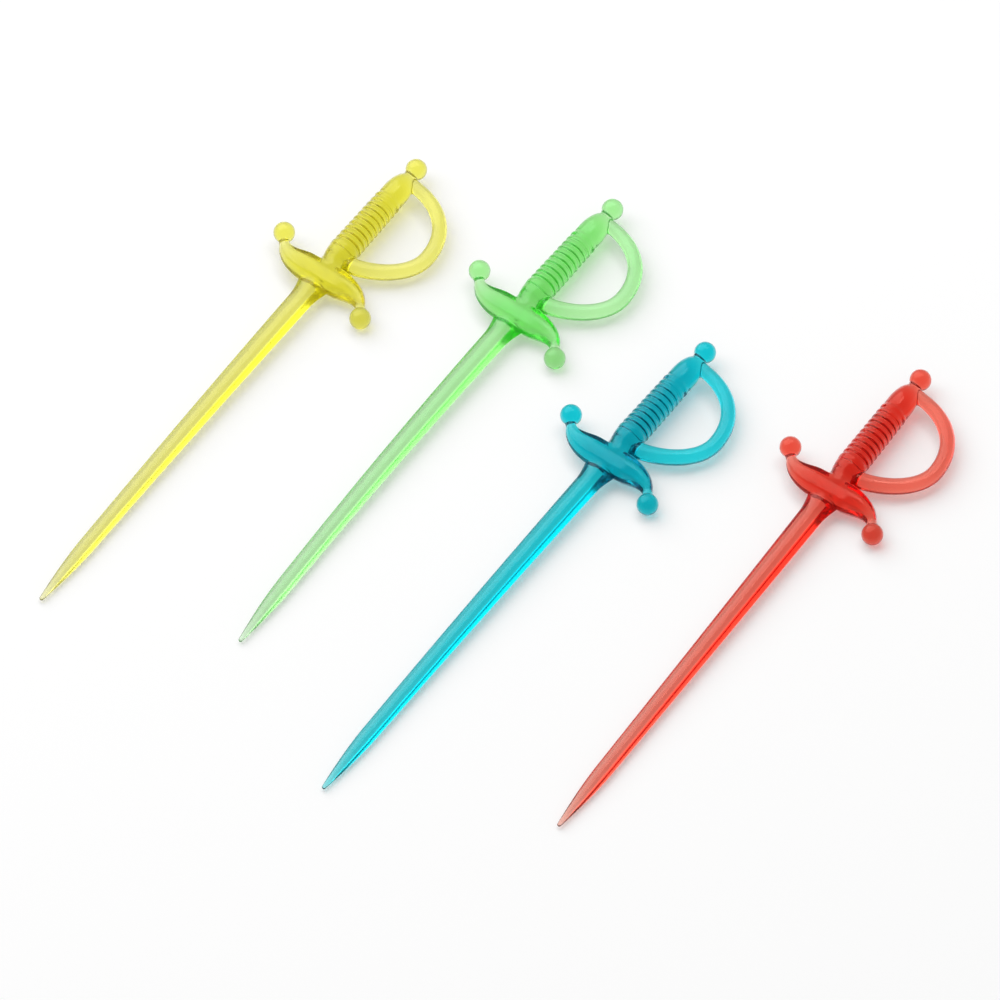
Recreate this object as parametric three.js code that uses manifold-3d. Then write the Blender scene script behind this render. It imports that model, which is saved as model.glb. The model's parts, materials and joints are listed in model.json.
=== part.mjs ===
// A set of four sword-shaped cocktail picks, lying side by side on a table.
// Each pick is one plastic moulding: a ridged blade, an S-shaped guard with ball ends, a ribbed grip
// with a ball pommel, and a knuckle bow that runs from the guard to the pommel's neck.
// Lengths are millimetres. In a pick's own frame the middle of the guard is the origin, +Y runs along
// the grip to the pommel, +X points to the side of the knuckle bow and +Z is up.

import * as THREE from 'three';
import { mergeVertices } from 'three/addons/utils/BufferGeometryUtils.js';
import Module from 'manifold-3d';

const wasm = await Module();
wasm.setup();

// Driving dimensions.

const blade = {
  length: 65.45,
  rootWidth: 3.7,
  rootThickness: 2.4,
  shoulderWidth: 2.5,
  shoulderThickness: 1.6,
  pointLength: 12,
  tipWidth: 0.5,
  tipThickness: 0.45,
  edgeThickness: 0.3,
  ridgeWidth: 0.3,
  pointSteps: 7,
};

const flare = {
  length: 3.2,
  width: 4.9,
  thickness: 2.8,
  steps: 4,
};

const guard = {
  width: 4.5,
  thickness: 3.6,
  shoulderWidth: 2.9,
  shoulderThickness: 3.1,
  ridgeWidth: 0.4,
  ridgeReach: 2.5,
  bellyReach: 7.2,
  bellyFullness: 1.5,
  quillonReach: 8.35,
  quillonRake: 2.75,
  elbowReach: 6.3,
  elbowRise: 0.95,
  straightReach: 3.5,
  neckDiameter: 1.5,
  ballDiameter: 3,
  steps: 22,
};

const ferrule = {
  rootDiameter: 3.3,
  endDiameter: 4.1,
  length: 2.4,
  steps: 3,
};

const grip = {
  ribs: 11,
  ribPitch: 1,
  ribHeight: 0.2,
  crestWidth: 0.4,
  rootDiameter: 4.3,
  endDiameter: 4,
};

const cap = {
  diameter: 3.8,
  length: 4.6,
  straightLength: 1.4,
  steps: 5,
};

const pommel = {
  neckDiameter: 1.9,
  neckLength: 0.4,
  ballDiameter: 3,
  steps: 7,
};

const bow = {
  rootWidth: 2.5,
  rootThickness: 2.2,
  endWidth: 1.9,
  endThickness: 1.8,
  rootGap: 1.05,
  rootRun: 4.2,
  reach: 9.85,
  deepStation: 10.8,
  foreRun: 4.3,
  aftRun: 5.1,
  endRun: 6.2,
  endGap: 0.55,
  sides: 10,
  steps: 26,
};

// How the picks lie: the clear gap from each pick to the one before it, how far its guard lies ahead of
// the yellow pick's, and how far its blade's tip is set over to the bow's side, as thin mouldings are
// when they have cooled.
const spacing = {
  greenGap: 4.45,
  greenAhead: 9.7,
  blueGap: 3.15,
  blueAhead: -3.5,
  redGap: 6.2,
  redAhead: 9.3,
};

const tipSet = {
  yellow: 0.83,
  green: 2.15,
  blue: 0.9,
  red: -0.25,
};

const roundSegments = 14;
const ballRings = 9;
const tolerance = 1e-5;

// Stations along the pick, measured from the middle of the guard.

const guardHalf = guard.width / 2;
const gripStart = guardHalf + ferrule.length;
const capStart = gripStart + grip.ribs * grip.ribPitch;
const neckStart = capStart + cap.length;
const ballRadius = pommel.ballDiameter / 2;
const pommelCentre = neckStart + pommel.neckLength + ballRadius;

// Places across the table, and each pick's turn in degrees, seen from above.

const pickWidth = bow.reach + guard.quillonReach + guard.ballDiameter;
const greenX = pickWidth + spacing.greenGap;
const blueX = greenX + pickWidth + spacing.blueGap;
const redX = blueX + pickWidth + spacing.redGap;

const picks = [
  { name: 'yellow_pick', colour: 0xe3e07c, x: 0, y: 0, turn: -0.2, bend: tipSet.yellow },
  { name: 'green_pick', colour: 0xa5e79b, x: greenX, y: spacing.greenAhead, turn: -1.25, bend: tipSet.green },
  { name: 'blue_pick', colour: 0x47bac4, x: blueX, y: spacing.blueAhead, turn: -1.3, bend: tipSet.blue },
  { name: 'red_pick', colour: 0xe37360, x: redX, y: spacing.redAhead, turn: 0.95, bend: tipSet.red },
];

// A ring of points round a centre, square to a direction that lies flat. The outline gives each point
// as [across, up], going anticlockwise when the direction points at the viewer.
function ring(centre, direction, outline) {
  const up = new THREE.Vector3(0, 0, 1);
  const across = new THREE.Vector3().crossVectors(up, direction).normalize();
  return outline.map(([a, h]) => centre.clone().addScaledVector(across, a).addScaledVector(up, h));
}

// A closed skin over rings with equal numbers of points, with a flat end on the first and last ring.
function loft(rings) {
  const sides = rings[0].length;
  const last = (rings.length - 1) * sides;
  const index = [];
  for (let r = 0; r < rings.length - 1; r += 1) {
    for (let s = 0; s < sides; s += 1) {
      const a = r * sides + s;
      const b = r * sides + ((s + 1) % sides);
      index.push(a, b, b + sides, a, b + sides, a + sides);
    }
  }
  for (let s = 1; s < sides - 1; s += 1) {
    index.push(0, s + 1, s);
    index.push(last, last + s, last + s + 1);
  }
  const corners = rings.flat().flatMap((point) => point.toArray());
  const geometry = new THREE.BufferGeometry();
  geometry.setAttribute('position', new THREE.Float32BufferAttribute(corners, 3));
  geometry.setIndex(index);
  return geometry;
}

// The solid inside a closed three.js geometry.
function solid(geometry) {
  const bare = geometry.clone();
  bare.deleteAttribute('normal');
  bare.deleteAttribute('uv');
  const merged = mergeVertices(bare, tolerance);
  const vertProperties = Float32Array.from(merged.attributes.position.array);
  const triVerts = Uint32Array.from(merged.index.array);
  return new wasm.Manifold(new wasm.Mesh({ numProp: 3, vertProperties, triVerts }));
}

function geometryOf(body) {
  const mesh = body.getMesh();
  const geometry = new THREE.BufferGeometry();
  geometry.setAttribute('position', new THREE.BufferAttribute(mesh.vertProperties, 3));
  geometry.setIndex(new THREE.BufferAttribute(mesh.triVerts, 1));
  return geometry;
}

// The blade's section, with eight corners: a narrow ridge above and below, blunt edges, straight flanks
// between.
function bladeSection(width, thickness) {
  const ridge = Math.min(blade.ridgeWidth, width / 2) / 2;
  const edge = Math.min(blade.edgeThickness, thickness / 2) / 2;
  const [w, t] = [width / 2, thickness / 2];
  return [[w, -edge], [w, edge], [ridge, t], [-ridge, t], [-w, edge], [-w, -edge], [-ridge, -t], [ridge, -t]];
}

// The guard's section, with ten corners: a narrow ridge above and below, an edge at each side, and a full
// shoulder between ridge and edge.
function guardSection(width, thickness) {
  const [w, t] = [width / 2, thickness / 2];
  const ridge = w * (guard.ridgeWidth / guard.width);
  const shoulder = w * (guard.shoulderWidth / guard.width);
  const rise = t * (guard.shoulderThickness / guard.thickness);
  const upper = [[w, 0], [shoulder, rise], [ridge, t], [-ridge, t], [-shoulder, rise]];
  return [...upper, ...upper.map(([across, up]) => [-across, -up])];
}

// The blade: a rounded point, a long even taper, and a flare that runs into the guard.
function bladeSolid() {
  const forward = new THREE.Vector3(0, 1, 0);
  const flareStart = -guardHalf - flare.length;
  const shoulder = -blade.length + blade.pointLength;
  const rings = [];
  const add = (y, width, thickness) => {
    rings.push(ring(new THREE.Vector3(0, y, 0), forward, bladeSection(width, thickness)));
  };
  for (let i = 0; i < blade.pointSteps; i += 1) {
    const share = i / blade.pointSteps;
    const swell = Math.sin((share * Math.PI) / 2);
    add(
      -blade.length + share * blade.pointLength,
      THREE.MathUtils.lerp(blade.tipWidth, blade.shoulderWidth, swell),
      THREE.MathUtils.lerp(blade.tipThickness, blade.shoulderThickness, swell),
    );
  }
  add(shoulder, blade.shoulderWidth, blade.shoulderThickness);
  for (let i = 0; i <= flare.steps; i += 1) {
    const share = i / flare.steps;
    const swell = 1 - Math.cos((share * Math.PI) / 2);
    add(
      flareStart + share * flare.length,
      THREE.MathUtils.lerp(blade.rootWidth, flare.width, swell),
      THREE.MathUtils.lerp(blade.rootThickness, flare.thickness, swell),
    );
  }
  add(0, flare.width, flare.thickness);
  return solid(loft(rings));
}

// The guard: a leaf-shaped belly on an S-shaped spine that runs out to a ball at each end.
function guardSolid() {
  const arm = new THREE.CubicBezierCurve3(
    new THREE.Vector3(0, 0, 0),
    new THREE.Vector3(guard.straightReach, 0, 0),
    new THREE.Vector3(guard.elbowReach, guard.elbowRise, 0),
    new THREE.Vector3(guard.quillonReach, -guard.quillonRake, 0),
  );
  const rings = [];
  for (let i = 0; i <= guard.steps; i += 1) {
    const along = (2 * i) / guard.steps - 1;
    const centre = arm.getPoint(Math.abs(along)).multiplyScalar(Math.sign(along));
    const past = (Math.abs(centre.x) - guard.ridgeReach) / (guard.bellyReach - guard.ridgeReach);
    const swell = 1 - THREE.MathUtils.clamp(past, 0, 1) ** guard.bellyFullness;
    const width = THREE.MathUtils.lerp(guard.neckDiameter, guard.width, swell);
    const thickness = THREE.MathUtils.lerp(guard.neckDiameter, guard.thickness, swell);
    rings.push(ring(centre, arm.getTangent(Math.abs(along)), guardSection(width, thickness)));
  }
  let body = solid(loft(rings));
  for (const side of [-1, 1]) {
    const ball = new THREE.SphereGeometry(guard.ballDiameter / 2, roundSegments, ballRings);
    ball.rotateX(Math.PI / 2);
    ball.translate(side * guard.quillonReach, -side * guard.quillonRake, 0);
    body = body.add(solid(ball));
  }
  return body;
}

// The grip, turned about the pick's axis: ferrule, ribs, cap, neck and pommel ball.
function gripSolid() {
  const profile = [new THREE.Vector2(0, 0), new THREE.Vector2(ferrule.rootDiameter / 2, 0)];
  const add = (diameter, y) => profile.push(new THREE.Vector2(diameter / 2, y));
  for (let i = 0; i <= ferrule.steps; i += 1) {
    const share = i / ferrule.steps;
    const swell = Math.sin((share * Math.PI) / 2);
    const diameter = THREE.MathUtils.lerp(ferrule.rootDiameter, ferrule.endDiameter, swell);
    add(diameter, guardHalf + share * ferrule.length);
  }
  for (let i = 0; i < grip.ribs; i += 1) {
    const crest = THREE.MathUtils.lerp(grip.rootDiameter, grip.endDiameter, (i + 0.5) / grip.ribs);
    const crestCentre = gripStart + (i + 0.5) * grip.ribPitch;
    add(crest, crestCentre - grip.crestWidth / 2);
    add(crest, crestCentre + grip.crestWidth / 2);
    add(crest - 2 * grip.ribHeight, gripStart + (i + 1) * grip.ribPitch);
  }
  for (let i = 0; i <= cap.steps; i += 1) {
    const angle = (i / cap.steps) * (Math.PI / 2);
    const roundLength = cap.length - cap.straightLength;
    add(
      pommel.neckDiameter + (cap.diameter - pommel.neckDiameter) * Math.cos(angle),
      capStart + cap.straightLength + roundLength * Math.sin(angle),
    );
  }
  const neckAngle = Math.asin(pommel.neckDiameter / pommel.ballDiameter);
  for (let i = 0; i < pommel.steps; i += 1) {
    const angle = Math.PI - neckAngle - (i / pommel.steps) * (Math.PI - neckAngle);
    add(pommel.ballDiameter * Math.sin(angle), pommelCentre + ballRadius * Math.cos(angle));
  }
  profile.push(new THREE.Vector2(0, pommelCentre + ballRadius));
  return solid(new THREE.LatheGeometry(profile, roundSegments));
}

// The knuckle bow: square out of the ferrule beside the guard, round the fingers and square into the
// end of the cap, growing thinner all the way.
function bowSolid() {
  const rootStation = guardHalf + bow.rootGap;
  const endStation = neckStart - bow.endGap;
  const line = new THREE.CurvePath();
  line.add(new THREE.CubicBezierCurve3(
    new THREE.Vector3(0, rootStation, 0),
    new THREE.Vector3(bow.rootRun, rootStation, 0),
    new THREE.Vector3(bow.reach, bow.deepStation - bow.foreRun, 0),
    new THREE.Vector3(bow.reach, bow.deepStation, 0),
  ));
  line.add(new THREE.CubicBezierCurve3(
    new THREE.Vector3(bow.reach, bow.deepStation, 0),
    new THREE.Vector3(bow.reach, bow.deepStation + bow.aftRun, 0),
    new THREE.Vector3(bow.endRun, endStation, 0),
    new THREE.Vector3(0, endStation, 0),
  ));
  const rings = [];
  for (let i = 0; i <= bow.steps; i += 1) {
    const share = i / bow.steps;
    const width = THREE.MathUtils.lerp(bow.rootWidth, bow.endWidth, share);
    const thickness = THREE.MathUtils.lerp(bow.rootThickness, bow.endThickness, share);
    const outline = [];
    for (let k = 0; k < bow.sides; k += 1) {
      const angle = (2 * Math.PI * k) / bow.sides;
      outline.push([(width / 2) * Math.cos(angle), (thickness / 2) * Math.sin(angle)]);
    }
    rings.push(ring(line.getPoint(share), line.getTangent(share), outline));
  }
  return solid(loft(rings));
}

// The straight moulding as one body.
function pickSolid() {
  return bladeSolid().add(guardSolid()).add(gripSolid()).add(bowSolid());
}

// The same moulding with its blade set over sideways, more and more towards the tip.
function setOver(geometry, bend) {
  const bent = geometry.clone();
  const position = bent.attributes.position;
  for (let i = 0; i < position.count; i += 1) {
    const share = Math.max(0, -position.getY(i)) / blade.length;
    position.setX(i, position.getX(i) + bend * share ** 2);
  }
  return bent;
}

// The centre of mass of a closed geometry, from the pyramids between its triangles and the origin.
function centreOfMass(geometry) {
  const position = geometry.attributes.position;
  const index = geometry.index;
  const corners = [new THREE.Vector3(), new THREE.Vector3(), new THREE.Vector3()];
  const centre = new THREE.Vector3();
  let volume = 0;
  for (let i = 0; i < index.count; i += 3) {
    corners.forEach((corner, k) => corner.fromBufferAttribute(position, index.getX(i + k)));
    const [a, b, c] = corners;
    const pyramid = a.dot(b.clone().cross(c)) / 6;
    volume += pyramid;
    centre.addScaledVector(a, pyramid / 4).addScaledVector(b, pyramid / 4).addScaledVector(c, pyramid / 4);
  }
  return centre.divideScalar(volume);
}

// The value between low and high at which a function with one valley is least.
function lowest(low, high, height) {
  let a = low;
  let b = high;
  while (b - a > tolerance) {
    const third = (b - a) / 3;
    if (height(a + third) < height(b - third)) {
      b -= third;
    } else {
      a += third;
    }
  }
  return (a + b) / 2;
}

// How a pick comes to rest: the pitch and roll at which its centre of mass is lowest above the table,
// which stands it on its blade, the first rib of its grip and the ball on the bow's side.
function restingTilt(geometry) {
  const steepest = THREE.MathUtils.degToRad(12);
  const centre = centreOfMass(geometry);
  const position = geometry.attributes.position;
  const height = (pitch, roll) => {
    const down = new THREE.Vector3(0, 0, -1).applyQuaternion(tiltOf(pitch, roll).invert());
    let reach = 0;
    for (let i = 0; i < position.count; i += 1) {
      const x = position.getX(i) - centre.x;
      const y = position.getY(i) - centre.y;
      const z = position.getZ(i) - centre.z;
      reach = Math.max(reach, x * down.x + y * down.y + z * down.z);
    }
    return reach;
  };
  const bestPitch = (roll) => lowest(-steepest, steepest, (pitch) => height(pitch, roll));
  const roll = lowest(-steepest, steepest, (r) => height(bestPitch(r), r));
  return tiltOf(bestPitch(roll), roll);
}

function tiltOf(pitch, roll) {
  return new THREE.Quaternion().setFromEuler(new THREE.Euler(pitch, roll, 0));
}

const set = new THREE.Group();
const straight = geometryOf(pickSolid());

for (const { name, colour, x, y, turn, bend } of picks) {
  const geometry = setOver(straight, bend);
  const material = new THREE.MeshStandardMaterial({ color: colour, roughness: 0.12, metalness: 0 });
  const pick = new THREE.Mesh(geometry, material);
  pick.name = name;
  pick.quaternion.copy(restingTilt(geometry));
  const place = new THREE.Group();
  place.position.set(x, y, 0);
  place.rotation.z = THREE.MathUtils.degToRad(turn);
  place.add(pick);
  place.updateMatrixWorld(true);
  pick.position.z = -new THREE.Box3().setFromObject(place, true).min.z;
  set.add(place);
}

// The set stands on the table with its origin under the middle of its box.
const box = new THREE.Box3().setFromObject(set, true);
const middle = box.getCenter(new THREE.Vector3());
set.position.set(-middle.x, -middle.y, -box.min.z);

export default set;
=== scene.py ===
# %% [markdown]
# # Sword cocktail picks
# Four picks lie side by side on a white table, one yellow, one green, one blue and one red. Each is a
# single moulding in clear tinted plastic, so each is one closed surface here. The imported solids
# already say how large a pick is and how it lies, and they are read before anything is made.

# %% Load the frame
import json

import bpy
import numpy as np
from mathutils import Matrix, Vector


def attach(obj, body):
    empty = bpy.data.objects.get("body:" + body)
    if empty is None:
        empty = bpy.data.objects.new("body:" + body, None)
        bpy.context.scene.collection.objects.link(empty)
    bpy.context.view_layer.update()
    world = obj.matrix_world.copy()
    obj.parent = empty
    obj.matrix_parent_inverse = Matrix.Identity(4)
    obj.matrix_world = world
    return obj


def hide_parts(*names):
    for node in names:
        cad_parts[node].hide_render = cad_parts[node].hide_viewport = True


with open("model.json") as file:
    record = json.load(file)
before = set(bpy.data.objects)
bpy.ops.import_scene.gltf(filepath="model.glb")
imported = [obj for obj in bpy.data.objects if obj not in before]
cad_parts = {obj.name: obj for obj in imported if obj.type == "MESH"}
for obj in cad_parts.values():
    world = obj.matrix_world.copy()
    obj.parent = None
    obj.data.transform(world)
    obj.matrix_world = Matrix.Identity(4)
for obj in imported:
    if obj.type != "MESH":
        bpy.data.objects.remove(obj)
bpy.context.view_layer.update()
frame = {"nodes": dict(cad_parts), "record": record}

MM = 0.001

# %% [markdown]
# ## Camera
# The picture was taken from well above and a little to the right of the blades, from far enough off
# that the picks hardly shrink towards the back. A camera without perspective would come close to it,
# but a long lens at 1.4 m keeps the little shrinking that there is.

# %% Camera
LENS, SENSOR = 375, 36
DISTANCE = 1.4
azimuth, elevation = np.radians(35), np.radians(53)
aim = np.array([0.00183, 0.00155, 0.0])
towards = np.array([
    np.sin(azimuth) * np.cos(elevation),
    -np.cos(azimuth) * np.cos(elevation),
    np.sin(elevation),
])


def linked(name, data):
    """A new object with this data, in the scene."""
    made = bpy.data.objects.new(name, data)
    bpy.context.scene.collection.objects.link(made)
    return made


def facing_aim(name, data, side, distance):
    """A camera or lamp at aim + distance * side, with its back turned along the unit vector side."""
    made = linked(name, data)
    made.location = aim + distance * side
    made.rotation_euler = Vector(side).to_track_quat("Z", "Y").to_euler()
    return made


camera_data = bpy.data.cameras.new("camera")
camera_data.lens, camera_data.sensor_width = LENS, SENSOR
camera = facing_aim("camera", camera_data, towards, DISTANCE)
bpy.context.scene.camera = camera
print("camera at", np.round(camera.location, 3))

# %% [markdown]
# ## Skins and sections
# A pick is made straight first, in millimetres, with the middle of its guard at the origin, the grip
# along +Y, the knuckle bow to +X and the top at +Z. Its forms could be pushed and pulled out of
# ready-made bars and balls, but each of them is a row of rings round a line, so one function that
# closes such a row into a skin makes them all. The blade and the guard have sections with straight
# flanks between ridge, shoulder and edge, whose corners are softened as a mould leaves them.

# %% Closed skins
def skin(rings):
    """A closed skin over rings: quads between ring r and ring r + 1, and at both ends a fan of
    triangles to the ring's middle."""
    rows, columns, _ = rings.shape
    points = np.concatenate([rings.reshape(-1, 3), rings[[0, -1]].mean(axis=1)])
    number = np.arange(rows * columns).reshape(rows, columns)
    beside = np.roll(number, -1, axis=1)
    quads = np.stack([number[:-1], beside[:-1], beside[1:], number[1:]], axis=-1).reshape(-1, 4)
    first, last = rows * columns, rows * columns + 1
    fans = np.concatenate([
        np.stack([beside[0], number[0], np.full(columns, first)], axis=-1),
        np.stack([number[-1], beside[-1], np.full(columns, last)], axis=-1),
    ])
    return points, quads, fans


def rings_along(line, heading, outline):
    """Rings round a flat line: centre + across * a + up * h, where up is +Z and across is
    up x heading."""
    up = np.array([0.0, 0.0, 1.0])
    across = np.cross(up, heading)
    across /= np.linalg.norm(across, axis=1, keepdims=True)
    return line[:, None] + across[:, None] * outline[..., :1] + up * outline[..., 1:]


def mesh_of(name, skins):
    """One mesh from several skins, each (points, quads, fans)."""
    starts = np.cumsum([0] + [len(points) for points, _, _ in skins])
    faces = []
    for start, (_, quads, fans) in zip(starts, skins):
        faces += (quads + start).tolist() + (fans + start).tolist()
    points = np.concatenate([points for points, _, _ in skins])
    mesh = bpy.data.meshes.new(name)
    mesh.from_pydata(points.tolist(), [], faces)
    print(name, "has", len(points), "points and is", np.round(np.ptp(points, axis=0), 2), "mm")
    return mesh


# %% Sections with flanks
SOFT_CORNERS, CRISP_CORNERS = 8, 40


def softened(corners, sharpness, steps=8):
    """The corners' outline with each corner softened, one row for each station.
    Along a direction u the outline lies at (sum of max(0, n.u / d) ** p) ** (-1 / p), over the flats
    with outward direction n at distance d, where p is the sharpness of the corners."""
    along = np.roll(corners, -1, axis=1) - corners
    normals = np.stack([along[..., 1], -along[..., 0]], axis=-1)
    normals /= np.linalg.norm(normals, axis=-1, keepdims=True)
    offsets = (normals * corners).sum(axis=-1)
    share = (1 - np.cos(np.pi * np.arange(steps) / steps)) / 2
    points = (corners[:, :, None] + along[:, :, None] * share[:, None]).reshape(len(corners), -1, 2)
    u = points / np.linalg.norm(points, axis=-1, keepdims=True)
    reach = np.einsum("rci,rfi->rcf", u, normals) / offsets[:, None]
    return u * (np.maximum(reach, 0) ** sharpness).sum(axis=-1, keepdims=True) ** (-1 / sharpness)


def halves(*sizes):
    """Half of each size, as a column with one row for each station."""
    return [np.asarray(size, float)[:, None] / 2 for size in sizes]


def ridged(width, thickness, land, edge):
    """A section with flat lands above and below, blunt edges and straight flanks between."""
    w, t, l, e = halves(width, thickness, land, edge)
    across = np.concatenate([w, w, l, -l, -w, -w, -l, l], axis=1)
    up = np.concatenate([-e, e, t, t, e, -e, -t, -t], axis=1)
    return softened(np.stack([across, up], axis=-1), SOFT_CORNERS)


def shouldered(width, thickness, shoulder_width, shoulder_thickness, ridge):
    """A section with a narrow ridge above and below, an edge on each side, and a shoulder between
    ridge and edge."""
    w, t, a, b, r = halves(width, thickness, shoulder_width, shoulder_thickness, ridge)
    o = 0 * w
    across = np.concatenate([w, a, r, -r, -a, -w, -a, -r, r, a], axis=1)
    up = np.concatenate([o, b, t, t, b, o, -b, -t, -t, -b], axis=1)
    return softened(np.stack([across, up], axis=-1), CRISP_CORNERS)


def between(low, high, share):
    """The value at a share of the way: low + (high - low) * share."""
    return low + (high - low) * share


# %% [markdown]
# ## Blade
# The blade is a long, evenly tapering bar with a ridge above and below, so that it shows two long
# facets. It comes to a rounded point over its last 12 mm, and swells into a wedge just before it
# runs into the guard. A bar could be cut to a point and filed, but rings whose width and thickness
# follow one rule each pass from nose to point to taper to wedge without a seam.

# %% Blade
GUARD_HALF = 2.25
BLADE_LENGTH, POINT_LENGTH, FLARE_LENGTH, NOSE_LENGTH = 65.45, 12.0, 3.2, 0.3
BLADE_LAND = 0.3
# Each size at the tip, behind the point, in front of the wedge and at the guard.
BLADE_WIDTHS = 0.5, 2.5, 3.7, 4.9
BLADE_THICKNESSES = 0.45, 1.6, 2.4, 2.8
flare_start = BLADE_LENGTH - GUARD_HALF - FLARE_LENGTH


def blade_skin():
    """Rings at distances s from the tip. A size rises as a quarter sine over the point, then straight
    to the wedge, then as 1 - cos over it. The nose is a quarter circle."""
    s = np.concatenate([
        NOSE_LENGTH * (1 - np.cos(np.linspace(0.12, np.pi / 2, 8))),
        np.linspace(NOSE_LENGTH, POINT_LENGTH, 48)[1:],
        np.linspace(POINT_LENGTH, flare_start, 70)[1:],
        np.linspace(flare_start, flare_start + FLARE_LENGTH, 24)[1:],
        [BLADE_LENGTH],
    ])
    nose = np.sqrt(1 - (1 - np.clip(s / NOSE_LENGTH, 0, 1)) ** 2)
    point = np.sin(np.pi / 2 * np.clip(s / POINT_LENGTH, 0, 1))
    taper = np.clip((s - POINT_LENGTH) / (flare_start - POINT_LENGTH), 0, 1)
    wedge = 1 - np.cos(np.pi / 2 * np.clip((s - flare_start) / FLARE_LENGTH, 0, 1))

    def grown(tip, behind_point, before_wedge, at_guard):
        """One size at every station."""
        tapered = between(between(tip, behind_point, point), before_wedge, taper)
        return between(tapered, at_guard, wedge) * nose

    width, thickness = grown(*BLADE_WIDTHS), grown(*BLADE_THICKNESSES)
    land, edge = np.minimum(BLADE_LAND, width / 2), np.minimum(BLADE_LAND, thickness / 2)
    line = np.stack([0 * s, s - BLADE_LENGTH, 0 * s], axis=-1)
    heading = np.tile([0.0, 1.0, 0.0], (len(s), 1))
    return skin(rings_along(line, heading, ridged(width, thickness, land, edge)))


blade_mesh = mesh_of("blade", [blade_skin()])

# %% [markdown]
# ## Guard
# The guard is a leaf, widest and thickest where the blade meets it, on a spine that runs out
# straight and then turns, one arm towards the tip and the other towards the pommel. A ridge and two
# shoulders run along it. Each arm narrows to a neck that swells into a ball. It could be carved from
# a block, but a section carried along a Bezier curve and its point reflection keeps the ridge clean
# and makes both arms alike.

# %% Curves and turned forms
def bezier(corners, t):
    """Places and headings on a cubic Bezier: sum of c_i * B_i(t), and the unit vector along it."""
    c = np.array(corners, float)
    t = np.asarray(t, float)[:, None]
    places = (
        c[0] * (1 - t) ** 3 + 3 * c[1] * t * (1 - t) ** 2 + 3 * c[2] * t ** 2 * (1 - t) + c[3] * t ** 3
    )
    slope = (c[1] - c[0]) * (1 - t) ** 2 + 2 * (c[2] - c[1]) * t * (1 - t) + (c[3] - c[2]) * t ** 2
    return places, slope / np.linalg.norm(slope, axis=1, keepdims=True)


def turned_skin(stations, radii, columns=96):
    """A profile turned about the Y axis: (r cos a, y, r sin a)."""
    angle = -2 * np.pi * np.arange(columns) / columns
    rings = np.stack([
        radii[:, None] * np.cos(angle),
        np.repeat(stations[:, None], columns, axis=1),
        radii[:, None] * np.sin(angle),
    ], axis=-1)
    return skin(rings)


def ball_skin(centre, radius):
    """A ball: the profile (r sin a, -r cos a) turned about the Y axis and carried to its centre."""
    a = np.linspace(0.03, np.pi - 0.03, 48)
    points, quads, fans = turned_skin(-radius * np.cos(a), radius * np.sin(a), 64)
    return points + centre, quads, fans


def neck_swell(distance, neck, ball, fillet):
    """A neck's radius at a distance d from a ball's middle: n + f - sqrt(f ** 2 - (s - d) ** 2).
    The fillet f starts at s = sqrt((b + f) ** 2 - (n + f) ** 2) and meets the ball b at
    s * b / (b + f)."""
    start = np.sqrt((ball + fillet) ** 2 - (neck + fillet) ** 2)
    meeting = start * ball / (ball + fillet)
    run = np.clip(start - np.maximum(distance, meeting), 0, None)
    return neck + fillet - np.sqrt(fillet ** 2 - run ** 2)


# %% Guard
GUARD_WIDTH, GUARD_THICKNESS = 4.5, 3.6
SHOULDER_WIDTH, SHOULDER_THICKNESS, RIDGE_WIDTH = 2.9, 3.1, 0.4
LAND_END, BELLY_END = 2.5, 7.2
BALL_RADIUS, NECK_RADIUS, NECK_FILLET = 1.5, 0.75, 0.8
BALL_CENTRE = np.array([8.35, -2.75, 0.0])
SPINE = (0, 0, 0), (3.5, 0, 0), (6.3, 0.95, 0), BALL_CENTRE


def guard_skins():
    """The leaf and its two balls. The leaf's sizes fall from the belly to the neck as 1 - v ** 1.5,
    where v is the share of the way from the land's end to the belly's end."""
    along = np.linspace(-1, 1, 241)
    places, heading = bezier(SPINE, abs(along))
    line = places * np.sign(along)[:, None]
    belly = 1 - np.clip((abs(line[:, 0]) - LAND_END) / (BELLY_END - LAND_END), 0, 1) ** 1.5
    to_ball = np.linalg.norm(places - BALL_CENTRE, axis=1)
    neck = 2 * neck_swell(to_ball, NECK_RADIUS, BALL_RADIUS, NECK_FILLET)
    width = np.maximum(between(2 * NECK_RADIUS, GUARD_WIDTH, belly), neck)
    thickness = np.maximum(between(2 * NECK_RADIUS, GUARD_THICKNESS, belly), neck)
    outline = shouldered(
        width,
        thickness,
        width * SHOULDER_WIDTH / GUARD_WIDTH,
        thickness * SHOULDER_THICKNESS / GUARD_THICKNESS,
        width * RIDGE_WIDTH / GUARD_WIDTH,
    )
    leaf = skin(rings_along(line, heading, outline))
    return [leaf, ball_skin(BALL_CENTRE, BALL_RADIUS), ball_skin(-BALL_CENTRE, BALL_RADIUS)]


guard = guard_skins()
print("guard has its balls at", BALL_CENTRE, "and", -BALL_CENTRE, "mm")

# %% [markdown]
# ## Grip
# The grip is round: a smooth ferrule that widens away from the guard, eleven low ribs, a smooth cap
# that draws in to a short neck, and the pommel ball. The ribs could be rings set on a bar, but one
# profile turned about the pick's axis gives all of it, with soft grooves between the ribs.

# %% Grip
FERRULE_LENGTH, RIBS, RIB_PITCH, CAP_LENGTH, NECK_LENGTH = 2.4, 11, 1.0, 4.6, 0.4
GRIP_ROOT = 0.9
FERRULE_RADII, CREST_RADII, GROOVE_DEPTH = (1.65, 2.05), (2.15, 2.0), 0.19
CAP_RADII, CAP_STRAIGHT, CAP_ROUND = (1.78, 1.9), 1.4, 3.2
POMMEL_RADIUS, POMMEL_NECK, POMMEL_FILLET = 1.5, 0.95, 0.5
FILLET_END, POMMEL_START = 1.04, 0.82

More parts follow.
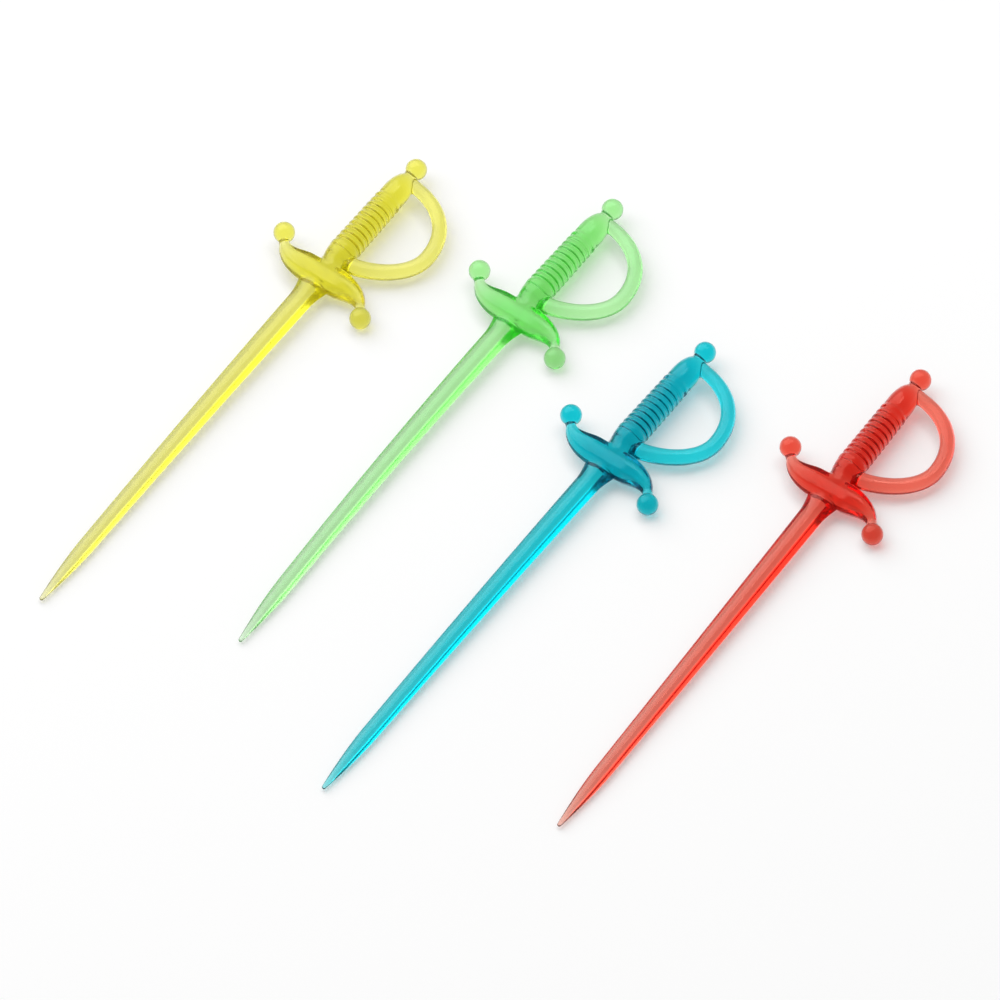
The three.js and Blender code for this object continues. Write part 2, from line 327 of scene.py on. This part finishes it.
grip_start = GUARD_HALF + FERRULE_LENGTH
cap_start = grip_start + RIBS * RIB_PITCH
neck_start = cap_start + CAP_LENGTH
pommel_centre = neck_start + NECK_LENGTH + POMMEL_RADIUS


def grip_skin():
    """Ferrule: a quarter sine. Ribs: the crest's radius less a groove, ((1 + cos(2 pi v)) / 2) ** 1.4
    deep once a pitch. Cap: a straight stretch, then sin a along and cos(a) ** 1.4 across, down to the
    neck. Pommel: a circle."""
    y = np.linspace(0, FERRULE_LENGTH, 20)
    ferrule = GUARD_HALF + y, between(*FERRULE_RADII, np.sin(np.pi / 2 * y / FERRULE_LENGTH))

    v = np.linspace(0, RIBS, RIBS * 16 + 1)[1:]
    groove = ((1 + np.cos(2 * np.pi * v)) / 2) ** 1.4
    first_edge = np.clip(v / 0.5, 0, 1)
    crest = between(*CREST_RADII, v / RIBS)
    ribs = grip_start + v * RIB_PITCH, crest - GROOVE_DEPTH * groove * first_edge

    rise = np.linspace(0.08, 1.3, 10)
    edge = np.sin(np.pi / 2 * np.clip(rise / 0.4, 0, 1))
    straight_cap = cap_start + rise, between(*CAP_RADII, edge)
    a = np.linspace(0, np.pi / 2, 24)
    cap_end = between(POMMEL_NECK, CAP_RADII[1], np.cos(a) ** 1.4)
    round_cap = cap_start + CAP_STRAIGHT + CAP_ROUND * np.sin(a), cap_end

    to_ball = np.linspace(NECK_LENGTH + POMMEL_RADIUS, FILLET_END, 10)[1:]
    neck = pommel_centre - to_ball, neck_swell(to_ball, POMMEL_NECK, POMMEL_RADIUS, POMMEL_FILLET)
    b = np.linspace(POMMEL_START, np.pi - 0.03, 32)
    pommel = pommel_centre - POMMEL_RADIUS * np.cos(b), POMMEL_RADIUS * np.sin(b)

    root = [GRIP_ROOT], [FERRULE_RADII[0]]
    profile = zip(root, ferrule, ribs, straight_cap, round_cap, neck, pommel)
    stations, radii = (np.concatenate(column) for column in profile)
    return turned_skin(stations, radii)


grip = grip_skin()
print("grip runs from", grip_start, "to", round(pommel_centre + POMMEL_RADIUS, 2), "mm")

# %% [markdown]
# ## Knuckle bow
# The bow guards the fingers. It leaves the ferrule at a right angle, swings round and comes back
# square into the end of the cap, with an oval section that grows thinner all the way. A curve with a
# round bevel would be quicker, but it can't change its oval along the way.

# %% Knuckle bow
BOW_REACH, BOW_MIDDLE = 9.85, 10.8
# Each size where the bow leaves the ferrule and where it meets the cap.
BOW_WIDTHS, BOW_THICKNESSES = (2.5, 1.9), (2.2, 1.8)
bow_root, bow_end = GUARD_HALF + 1.05, neck_start - 0.55
FORE_HALF = (
    (0, bow_root, 0), (4.2, bow_root, 0), (BOW_REACH, BOW_MIDDLE - 4.3, 0), (BOW_REACH, BOW_MIDDLE, 0),
)
AFT_HALF = (
    (BOW_REACH, BOW_MIDDLE, 0), (BOW_REACH, BOW_MIDDLE + 5.1, 0), (6.2, bow_end, 0), (0, bow_end, 0),
)


def bow_skin():
    """An oval (w cos a, t sin a) / 2 carried along two Bezier curves that meet at the bow's widest
    place."""
    t = np.linspace(0, 1, 90)
    halfway = zip(bezier(FORE_HALF, t), bezier(AFT_HALF, t[1:]))
    line, heading = (np.concatenate(column) for column in halfway)
    share = np.linspace(0, 1, len(line))[:, None]
    a = 2 * np.pi * np.arange(56) / 56
    outline = np.stack([
        between(*BOW_WIDTHS, share) / 2 * np.cos(a),
        between(*BOW_THICKNESSES, share) / 2 * np.sin(a),
    ], axis=-1)
    return skin(rings_along(line, heading, outline))


bow = bow_skin()
print("bow runs from", bow_root, "to", round(bow_end, 2), "mm and reaches", BOW_REACH, "mm out")

# %% [markdown]
# ## One moulding
# Guard, grip and bow flow into each other. They could be cut and stitched by hand, but it is simpler
# to join their skins and remesh them into one, and a little smoothing leaves the small rounding that
# plastic has where two forms meet. Where the bow leaves the ferrule and comes back into the cap, and
# where the grip leaves the guard, the mould has a larger rounding, so those places are smoothed
# again. The blade keeps its own crisp grid and is united with the rest last.

# %% Join guard, grip and bow
VOXEL = 0.11


def evaluated(piece, name):
    """The mesh that an object has after its modifiers."""
    mesh = bpy.data.meshes.new_from_object(piece.evaluated_get(bpy.context.evaluated_depsgraph_get()))
    mesh.name = name
    return mesh


def smooth(piece, title, times, group=""):
    """Moves each point halfway to its neighbours' middle, a number of times, as far as its group
    says."""
    smoothing = piece.modifiers.new(title, "SMOOTH")
    smoothing.factor, smoothing.iterations, smoothing.vertex_group = 0.5, times, group


hilt = linked("hilt", mesh_of("hilt", [*guard, grip, bow]))
remesh = hilt.modifiers.new("one skin", "REMESH")
remesh.mode, remesh.voxel_size = "VOXEL", VOXEL
smooth(hilt, "small rounding", 10)
softer_mesh = evaluated(hilt, "softer_hilt")
bpy.data.objects.remove(hilt)
print("the joined hilt has", len(softer_mesh.polygons), "faces")

# %% Larger rounding at the joints
# The middle of each joint, x and y, and how far its rounding reaches.
CAP_JOINT = 1.2, neck_start - 0.4, 0.9
FERRULE_JOINT = 2.0, GUARD_HALF + 1.0, 0.8
GUARD_JOINT = -1.6, 2.2, 0.7


def corners_of(mesh):
    """The places of a mesh's points, one row each."""
    places = np.empty(len(mesh.vertices) * 3)
    mesh.vertices.foreach_get("co", places)
    return places.reshape(-1, 3)


def nearness(places, joints):
    """How near each place is to a joint: the largest exp(-(distance / reach) ** 2)."""
    near = np.zeros(len(places))
    for x, y, reach in joints:
        away = np.hypot(places[:, 0] - x, places[:, 1] - y)
        near = np.maximum(near, np.exp(-(away / reach) ** 2))
    return near


near = nearness(corners_of(softer_mesh), (CAP_JOINT, FERRULE_JOINT, GUARD_JOINT))
softer_hilt = linked("softer_hilt", softer_mesh)
joint_group = softer_hilt.vertex_groups.new(name="joints")
for tenth in range(1, 11):
    members = np.flatnonzero(np.round(near * 10) == tenth)
    joint_group.add(members.tolist(), tenth / 10, "REPLACE")
smooth(softer_hilt, "larger rounding", 40, joint_group.name)
print(np.count_nonzero(near > 0.05), "points belong to the joints")

# %% Unite with the blade
straight_blade = linked("straight_blade", blade_mesh)
union = softer_hilt.modifiers.new("with the blade", "BOOLEAN")
union.operation, union.solver, union.object = "UNION", "MANIFOLD", straight_blade
moulding = evaluated(softer_hilt, "moulding")
straight = corners_of(moulding)
bpy.data.objects.remove(softer_hilt)
bpy.data.objects.remove(straight_blade)
print("the moulding has", len(moulding.polygons), "faces")
print("and is", np.round(np.ptp(straight, axis=0), 2), "mm")

# %% [markdown]
# ## Where each pick lies
# The solids carry each pick's place: the land on top of the guard gives its middle and its up
# direction, the pommel's pole gives the direction along the grip, and the tip shows how far a thin
# blade is set over sideways. The places could be typed in again, but read from the frame they always
# agree with the solids. The straight moulding is bent and carried there.

# %% Read the places
def unit(vector):
    """The vector at length 1."""
    return vector / np.linalg.norm(vector)


def place_of(colour):
    """The middle of a pick's guard, its three directions as rows, and how far its tip is set over, in
    mm."""
    land = next(m for m in frame["record"]["mounts"] if m["name"] == f"{colour}_guard_land")
    up = unit(np.array(land["axis"]))
    middle = np.array(land["pos_m"]) / MM - up * GUARD_THICKNESS / 2
    out = corners_of(frame["nodes"][f"{colour}_pick"].data) / MM - middle
    tip = out[np.argmax(np.linalg.norm(out, axis=1))]
    pommel = out[np.argmin(out @ tip)]
    ahead = unit(pommel - (pommel @ up) * up)
    axes = np.array([np.cross(ahead, up), ahead, up])
    local = out @ axes.T
    tip_set = local[local[:, 1] < local[:, 1].min() + 0.05, 0].mean()
    print(colour, "lies at", np.round(middle, 2), "mm with its tip set over", round(tip_set, 2), "mm")
    return middle, axes, tip_set


# %% Carry the moulding to the four places
def pick_piece(colour):
    """The straight moulding with x + set * (-y / length) ** 2 on the blade's side, turned and carried
    to its place."""
    middle, axes, tip_set = place_of(colour)
    bent = straight.copy()
    bent[:, 0] += tip_set * (np.maximum(0, -straight[:, 1]) / BLADE_LENGTH) ** 2
    mesh = moulding.copy()
    mesh.name = f"{colour}_moulding"
    mesh.vertices.foreach_set("co", ((bent @ axes + middle) * MM).ravel())
    mesh.polygons.foreach_set("use_smooth", np.ones(len(mesh.polygons), bool))
    mesh.update()
    return linked(f"{colour}_moulding", mesh)


picks = {colour: pick_piece(colour) for colour in ("yellow", "green", "blue", "red")}

for colour, piece in picks.items():
    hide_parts(f"{colour}_pick")
    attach(piece, colour)

# %% [markdown]
# ## Tinted plastic
# The plastic is tinted right through, so it is deepest in the grip and palest in the bow. A colour on
# the surface would tint thick and thin places alike, so light is taken away along its path inside,
# which is what Volume Absorption does: after d metres exp(-density * (1 - colour) * d) of each colour
# is left. The yellow and green are softer to look through than the blue and red. The skin is glossy,
# with faint flow waves and a fine grain in the roughness.

# %% Tinted plastic
REFRACTION, COAT, COAT_ROUGHNESS = 1.49, 0.25, 0.08
FLOW_WAVES, FINE_GRAIN = 260, 2600
WAVE_STRENGTH, WAVE_HEIGHT, WAVE_TINT, GRAIN_SPREAD = 0.2, 0.0001, 0.85, 0.04


def filled(node, values):
    """The node, with these values in its sockets."""
    for socket, value in values.items():
        node.inputs[socket].default_value = value
    return node


def plastic(name, colour, density, tint, sheen, blur):
    """Clear tinted plastic: bump = flow waves, roughness = blur +- a fine grain, base colour = tint,
    a little paler in the waves."""
    material = bpy.data.materials.new(name)
    material.use_nodes = True
    nodes, links = material.node_tree.nodes, material.node_tree.links
    place = nodes.new("ShaderNodeTexCoord").outputs["Object"]

    def noise(scale, detail):
        """A noise with this many waves a metre."""
        texture = filled(nodes.new("ShaderNodeTexNoise"), {"Scale": scale, "Detail": detail})
        links.new(place, texture.inputs["Vector"])
        return texture.outputs["Fac"]

    surface = filled(nodes["Principled BSDF"], {
        "IOR": REFRACTION,
        "Transmission Weight": 1.0,
        "Specular Tint": (*sheen, 1),
        "Coat Weight": COAT,
        "Coat Roughness": COAT_ROUGHNESS,
    })
    waves, grain = noise(FLOW_WAVES, 2), noise(FINE_GRAIN, 3)

    shades = nodes.new("ShaderNodeMix")
    shades.data_type = "RGBA"
    filled(shades, {"A": (*tint, 1), "B": (*between(1, np.array(tint), WAVE_TINT), 1)})
    links.new(waves, shades.inputs["Factor"])
    links.new(shades.outputs["Result"], surface.inputs["Base Color"])

    spread = {"To Min": blur - GRAIN_SPREAD, "To Max": blur + GRAIN_SPREAD}
    gloss = filled(nodes.new("ShaderNodeMapRange"), spread)
    links.new(grain, gloss.inputs["Value"])
    links.new(gloss.outputs["Result"], surface.inputs["Roughness"])

    relief = {"Strength": WAVE_STRENGTH, "Distance": WAVE_HEIGHT}
    uneven = filled(nodes.new("ShaderNodeBump"), relief)
    links.new(waves, uneven.inputs["Height"])
    links.new(uneven.outputs["Normal"], surface.inputs["Normal"])

    depth = {"Color": (*colour, 1), "Density": density}
    inside = filled(nodes.new("ShaderNodeVolumeAbsorption"), depth)
    links.new(inside.outputs["Volume"], nodes["Material Output"].inputs["Volume"])
    return material


# %% The four colours
finishes = {
    "yellow": plastic(
        "yellow_plastic", colour=(0.965, 0.95, 0.0), density=680,
        tint=(0.98, 0.97, 0.84), sheen=(0.9, 0.88, 0.3), blur=0.22,
    ),
    "green": plastic(
        "green_plastic", colour=(0.42, 0.965, 0.3), density=500,
        tint=(0.92, 0.98, 0.90), sheen=(0.4, 0.9, 0.5), blur=0.22,
    ),
    "blue": plastic(
        "blue_plastic", colour=(0.0, 0.91, 0.935), density=1750,
        tint=(0.84, 0.91, 0.93), sheen=(0.0, 0.55, 0.65), blur=0.14,
    ),
    "red": plastic(
        "red_plastic", colour=(0.96, 0.14, 0.0), density=950,
        tint=(0.98, 0.87, 0.79), sheen=(0.8, 0.2, 0.1), blur=0.10,
    ),
}

for colour, piece in picks.items():
    piece.data.materials.clear()
    piece.data.materials.append(finishes[colour])
    print(piece.name, "is made of", piece.data.materials[0].name)

# %% [markdown]
# ## Table
# The picture has a plain white table. A table of pure white would throw too much light back up into
# the plastic, and a grey one would look grey, so it is a pale matt grey with just enough light of its
# own to look white to the camera. Seen through the plastic it has more light of its own and less of
# the matt share. That keeps the soft shadows in the open, and keeps them from darkening thick places.

# %% Table
TABLE_SHADE, UNDER_SHADE = 0.78, 0.5
TABLE_HALF = 3

table_mesh = bpy.data.meshes.new("table")
table_corners = [(x * TABLE_HALF, y * TABLE_HALF, 0) for x, y in ((-1, -1), (1, -1), (1, 1), (-1, 1))]
table_mesh.from_pydata(table_corners, [], [(0, 1, 2, 3)])
table = linked("table", table_mesh)
print("the table is", 2 * TABLE_HALF, "m wide")

# %% White of the table
table_white = bpy.data.materials.new("table_white")
table_white.use_nodes = True
nodes, links = table_white.node_tree.nodes, table_white.node_tree.links
nodes.clear()


def worked_out(operation, *values):
    """What a Math node makes of two values, each a number or another node's output."""
    math = nodes.new("ShaderNodeMath")
    math.operation = operation
    for socket, value in zip(math.inputs, values):
        if isinstance(value, bpy.types.NodeSocket):
            links.new(value, socket)
        else:
            socket.default_value = value
    return math.outputs[0]


path = nodes.new("ShaderNodeLightPath").outputs
in_view = worked_out("MAXIMUM", path["Is Camera Ray"], path["Is Glossy Ray"])
in_view = worked_out("MAXIMUM", in_view, path["Is Transmission Ray"])

shades = filled(nodes.new("ShaderNodeMapRange"), {"To Min": TABLE_SHADE, "To Max": UNDER_SHADE})
links.new(path["Is Transmission Ray"], shades.inputs["Value"])
shade = shades.outputs["Result"]

matt = nodes.new("ShaderNodeBsdfDiffuse")
links.new(shade, matt.inputs["Color"])
own_light = nodes.new("ShaderNodeEmission")
rest_of_white = worked_out("SUBTRACT", 1, shade)
links.new(worked_out("MULTIPLY", in_view, rest_of_white), own_light.inputs["Strength"])

both = nodes.new("ShaderNodeAddShader")
links.new(matt.outputs[0], both.inputs[0])
links.new(own_light.outputs[0], both.inputs[1])
links.new(both.outputs[0], nodes.new("ShaderNodeOutputMaterial").inputs["Surface"])
table_mesh.materials.append(table_white)
print("own light of the table:", round(1 - TABLE_SHADE, 2), "in the open,", 1 - UNDER_SHADE, "under plastic")

# %% [markdown]
# ## Light
# The picture has soft studio light from its upper left. A small strong lamp would draw hard shadows,
# so an even sky and one large soft lamp light the picks at a plain level. A small share comes from a
# second lamp behind them, whose reflections draw the lines on guard and bow. It isn't seen through
# the plastic, where it would only make bright specks.

# %% Light
SKY, KEY, SPARK = 0.35, 0.55, 0.1

world = bpy.data.worlds.new("studio")
world.use_nodes = True
bpy.context.scene.world = world
filled(world.node_tree.nodes["Background"], {"Color": (1, 1, 1, 1), "Strength": SKY})


def soft_lamp(name, side, share, distance, size):
    """A round lamp that faces the picks and gives the table a share s of its full white.
    Its power is s * pi ** 2 * d ** 2 * (1 + (r / d) ** 2) / h, at a distance d, with a radius r, where
    h is how steeply its light falls, 1 from straight above."""
    side = unit(np.array(side))
    lamp = bpy.data.lights.new(name, "AREA")
    lamp.shape, lamp.size = "DISK", size
    reach = size / 2 / distance
    lamp.energy = share * np.pi * np.pi * distance ** 2 * (1 + reach ** 2) / side[2]
    print(name, "lamp gives", round(lamp.energy, 2), "W")
    return facing_aim(name, lamp, side, distance)


soft_lamp("key", (-0.62, 0.12, 0.78), KEY, distance=1.4, size=2.0)
spark = soft_lamp("spark", (0.05, 0.45, 0.88), SPARK, distance=0.9, size=0.35)
spark.visible_transmission = False

# %% [markdown]
# ## Finish
# Light goes in and out of a pick many times before it comes back, and with few bounces thick places
# turn black, so it is followed for 32.

# %% Finish
BOUNCES = 32

scene = bpy.context.scene
scene.cycles.max_bounces = BOUNCES
scene.cycles.glossy_bounces = BOUNCES
scene.cycles.transmission_bounces = BOUNCES
scene.view_settings.view_transform = "Standard"
